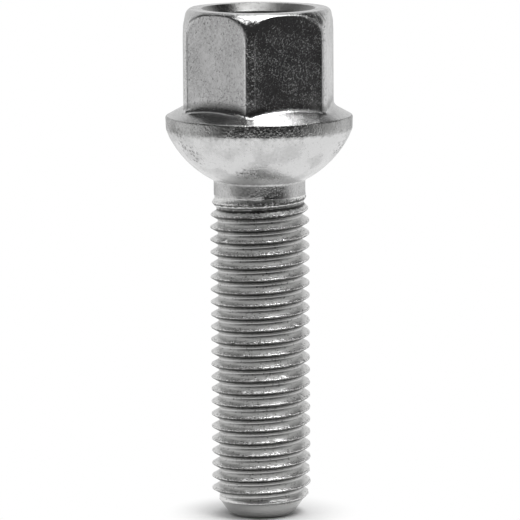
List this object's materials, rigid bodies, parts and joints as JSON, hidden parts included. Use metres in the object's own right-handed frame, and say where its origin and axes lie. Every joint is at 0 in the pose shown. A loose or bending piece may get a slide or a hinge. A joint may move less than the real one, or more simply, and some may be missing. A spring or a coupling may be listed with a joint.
{
  "type": "wheel bolt",
  "caption": "Wheel bolt with a hexagon head, a recess in its top, a collar with a ball seat and a right-hand fine thread.",
  "frame": {"origin": "middle of the thread's flat end face, which the bolt stands on", "axes": "+Z along the bolt from its end face to its head, +X square to a wrench flat"},
  "size_m": [0.0222, 0.0222, 0.0607],
  "materials": {
    "zinc_plated_steel": "bright zinc plating over cold-formed steel, with fine pits and handling marks"
  },
  "bodies": {
    "root": {"wheel_bolt": "zinc_plated_steel"}
  },
  "joints": []
}
